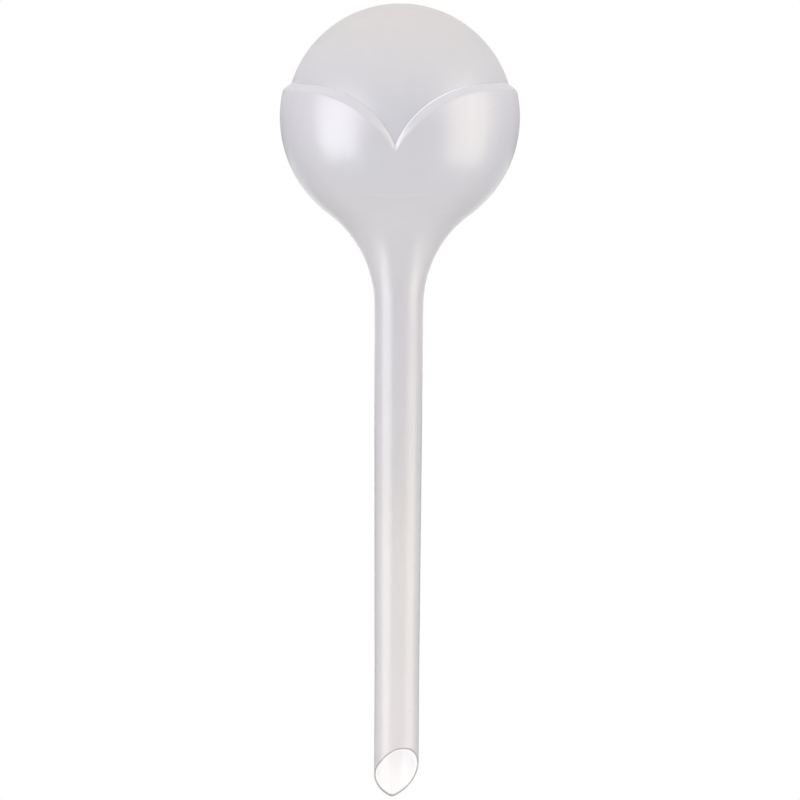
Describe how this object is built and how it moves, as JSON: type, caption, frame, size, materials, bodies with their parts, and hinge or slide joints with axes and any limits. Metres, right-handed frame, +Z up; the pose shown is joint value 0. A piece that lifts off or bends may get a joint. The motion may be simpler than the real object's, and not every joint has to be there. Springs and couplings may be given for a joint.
{
  "type": "watering globe",
  "caption": "Hollow translucent plastic globe held in a cup of petals on a long hollow stem; filled with water, its stem is pushed into a pot and lets water seep into the soil.",
  "frame": {"origin": "on the stem's axis, level with the lowest point of its slanting tip", "axes": "+Z up the stem to the globe, -Y through the middle of one gap between two petals"},
  "size_m": [0.08, 0.0795, 0.2713],
  "materials": {
    "globe": "satin, milky translucent, natural colour",
    "petal_stem": "satin, milky translucent, natural colour, clearer towards the tip"
  },
  "bodies": {
    "root": {"globe": "globe", "petal_stem": "petal_stem"}
  },
  "joints": []
}
